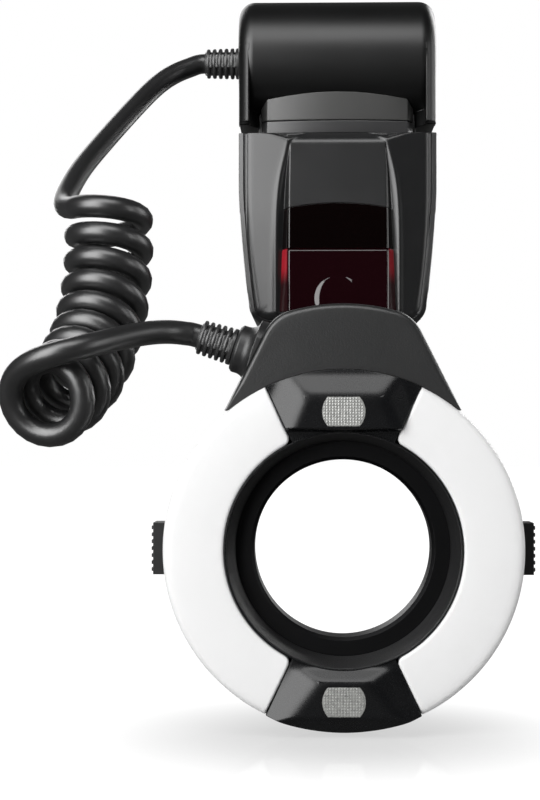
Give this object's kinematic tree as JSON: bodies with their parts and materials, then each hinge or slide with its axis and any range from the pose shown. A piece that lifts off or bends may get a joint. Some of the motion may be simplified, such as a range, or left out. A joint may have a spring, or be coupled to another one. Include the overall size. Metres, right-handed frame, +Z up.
{
  "type": "macro ring flash",
  "caption": "Macro ring flash: shoe-mounted control unit with a round head, a curled cord and a two-tube ring head that clips round a lens on an adapter ring.",
  "frame": {"origin": "centre of the foot's underside, where it lies in an accessory shoe", "axes": "+Z up, -Y toward the subject, +X to the right of a viewer who faces the flash"},
  "size_m": [0.1663, 0.1828, 0.2592],
  "materials": {
    "case_plastic": "matte",
    "saddle_plastic": "matte",
    "dark_window": "gloss",
    "red_window": "gloss",
    "clear_plastic": "gloss",
    "opal_plastic": "matte",
    "key_rubber": "matte",
    "control_plastic": "matte",
    "cable_rubber": "matte",
    "steel": "satin",
    "contact_brass": "satin",
    "black_aluminium": "matte",
    "reflector_foil": "polished",
    "glass": "gloss",
    "board": "satin",
    "cell_can": "satin",
    "capacitor_can": "satin"
  },
  "bodies": {
    "flash": {"front_cover": "case_plastic", "rear_shell": "case_plastic", "sensor_window": "dark_window", "af_window": "red_window", "af_emitter": "red_window", "door_pin": "steel", "battery_box": "case_plastic", "aa_cells": "cell_can", "main_board": "board", "key_switches": "control_plastic", "lcd_module": "board", "lcd_window": "clear_plastic", "confirm_lamp": "control_plastic", "neck_collar": "case_plastic", "neck_saddle": "saddle_plastic", "head_front_shell": "case_plastic", "head_rear_shell": "case_plastic", "main_capacitor": "capacitor_can", "upper_strain_relief": "cable_rubber", "foot_pedestal": "case_plastic", "foot_plate": "steel", "contact_block": "case_plastic", "case_screws": "steel", "ring_rear_shell": "case_plastic", "ring_front_frame": "case_plastic", "neck_cover": "case_plastic", "left_diffuser": "opal_plastic", "right_diffuser": "opal_plastic", "left_reflector": "reflector_foil", "right_reflector": "reflector_foil", "left_flash_tube": "glass", "right_flash_tube": "glass", "top_lamp_lens": "clear_plastic", "bottom_lamp_lens": "clear_plastic", "lamp_diodes": "board", "ring_board": "board", "ring_screws": "steel", "cord_gland": "case_plastic", "lower_strain_relief": "cable_rubber", "cord_upper_lead": "cable_rubber", "cord_curls": "cable_rubber", "cord_lower_lead": "cable_rubber"},
    "battery_door_body": {"battery_door": "case_plastic"},
    "mode_button_body": {"mode_button": "key_rubber"},
    "ratio_button_body": {"ratio_button": "key_rubber"},
    "lamp_button_body": {"lamp_button": "key_rubber"},
    "minus_button_body": {"minus_button": "key_rubber"},
    "select_button_body": {"select_button": "key_rubber"},
    "plus_button_body": {"plus_button": "key_rubber"},
    "pilot_button_body": {"pilot_button": "control_plastic"},
    "power_switch_body": {"power_switch": "control_plastic"},
    "contact_pins_body": {"contact_pins": "contact_brass"},
    "lock_ring_body": {"lock_ring": "case_plastic"},
    "lock_plate_body": {"lock_plate": "steel"},
    "lock_pin_body": {"lock_pin": "steel"},
    "left_release_body": {"left_release": "control_plastic"},
    "right_release_body": {"right_release": "control_plastic"},
    "adapter_ring_body": {"adapter_ring": "black_aluminium"}
  },
  "joints": [
    {"name": "door_hinge", "type": "hinge", "parent": "flash", "child": "battery_door_body", "pos_m": [-0.03064, 0.006, 0.0205], "axis": [0, -1, 0], "range_deg": [0, 85]},
    {"name": "mode_press", "type": "slide", "parent": "flash", "child": "mode_button_body", "axis": [0, -1, 0], "range_m": [0, 0.0008], "stiffness_N_per_m": 600},
    {"name": "ratio_press", "type": "slide", "parent": "flash", "child": "ratio_button_body", "axis": [0, -1, 0], "range_m": [0, 0.0008], "stiffness_N_per_m": 600},
    {"name": "lamp_press", "type": "slide", "parent": "flash", "child": "lamp_button_body", "axis": [0, -1, 0], "range_m": [0, 0.0008], "stiffness_N_per_m": 600},
    {"name": "minus_press", "type": "slide", "parent": "flash", "child": "minus_button_body", "axis": [0, -1, 0], "range_m": [0, 0.0008], "stiffness_N_per_m": 600},
    {"name": "select_press", "type": "slide", "parent": "flash", "child": "select_button_body", "axis": [0, -1, 0], "range_m": [0, 0.0008], "stiffness_N_per_m": 600},
    {"name": "plus_press", "type": "slide", "parent": "flash", "child": "plus_button_body", "axis": [0, -1, 0], "range_m": [0, 0.0008], "stiffness_N_per_m": 600},
    {"name": "pilot_press", "type": "slide", "parent": "flash", "child": "pilot_button_body", "axis": [0, -1, 0], "range_m": [0, 0.0008], "stiffness_N_per_m": 600},
    {"name": "power_slide", "type": "slide", "parent": "flash", "child": "power_switch_body", "axis": [1, 0, 0], "range_m": [0, 0.006]},
    {"name": "contact_press", "type": "slide", "parent": "flash", "child": "contact_pins_body", "axis": [0, 0, 1], "range_m": [0, 0.0007], "stiffness_N_per_m": 600},
    {"name": "lock_turn", "type": "hinge", "parent": "flash", "child": "lock_ring_body", "pos_m": [0, 0, 0.0073], "axis": [0, 0, 1], "range_deg": [0, 200]},
    {"name": "lock_plate_drop", "type": "slide", "parent": "flash", "child": "lock_plate_body", "axis": [0, 0, -1], "range_m": [0, 0.0009]},
    {"name": "lock_pin_drop", "type": "slide", "parent": "flash", "child": "lock_pin_body", "axis": [0, 0, -1], "range_m": [0, 0.0018]},
    {"name": "left_release_press", "type": "slide", "parent": "flash", "child": "left_release_body", "axis": [1, 0, 0], "range_m": [0, 0.0022], "stiffness_N_per_m": 800},
    {"name": "right_release_press", "type": "slide", "parent": "flash", "child": "right_release_body", "axis": [-1, 0, 0], "range_m": [0, 0.0022], "stiffness_N_per_m": 800},
    {"name": "adapter_turn", "type": "hinge", "parent": "flash", "child": "adapter_ring_body", "pos_m": [0, -0.1155, -0.0625], "axis": [0, 1, 0], "continuous": true}
  ],
  "couplings": [
    {"joint": "lock_plate_drop", "follows": "lock_turn", "m_per_rad": 0.000257},
    {"joint": "lock_pin_drop", "follows": "lock_turn", "m_per_rad": 0.000515}
  ]
}
